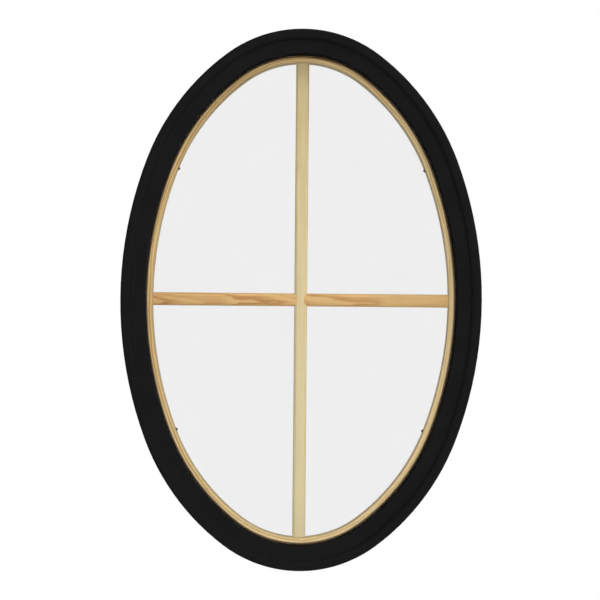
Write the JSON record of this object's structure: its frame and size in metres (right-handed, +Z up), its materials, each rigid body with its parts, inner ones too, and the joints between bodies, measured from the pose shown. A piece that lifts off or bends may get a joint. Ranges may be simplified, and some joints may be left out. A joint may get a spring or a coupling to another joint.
{
  "type": "oval window",
  "caption": "Fixed oval window with a moulded black exterior casing, a pine jamb, sealed double glazing and a removable pine grille with a crossing bar.",
  "frame": {"origin": "centre of the oval in the wall plane, where the back of the casing lies on the wall", "axes": "+Z up along the height, +Y from the exterior to the room, +X to the right seen from outside"},
  "size_m": [0.6096, 0.1479, 0.9142],
  "materials": {
    "casing": "satin black moulded polymer",
    "pine": "clear pine, sanded, unfinished",
    "pale_pine": "pale pine, sanded, unfinished",
    "glass": "clear float glass",
    "spacer": "dark bronze spacer",
    "seal": "black sealant and foam tape",
    "steel": "bright wire",
    "pin": "dark bronze"
  },
  "bodies": {
    "root": {"exterior_casing": "casing", "jamb": "pine", "glazing_tape": "seal", "outer_pane": "glass", "spacer_bar": "spacer", "edge_seal": "seal", "inner_pane": "glass", "setting_blocks": "seal", "bedding_bead": "seal", "interior_stop": "pine", "stop_brads": "steel", "grille_surround": "pine", "vertical_bar": "pale_pine", "left_bar": "pine", "right_bar": "pine", "rim_dowels": "pale_pine", "cross_dowel": "pale_pine", "grille_pins": "pin"}
  },
  "joints": []
}
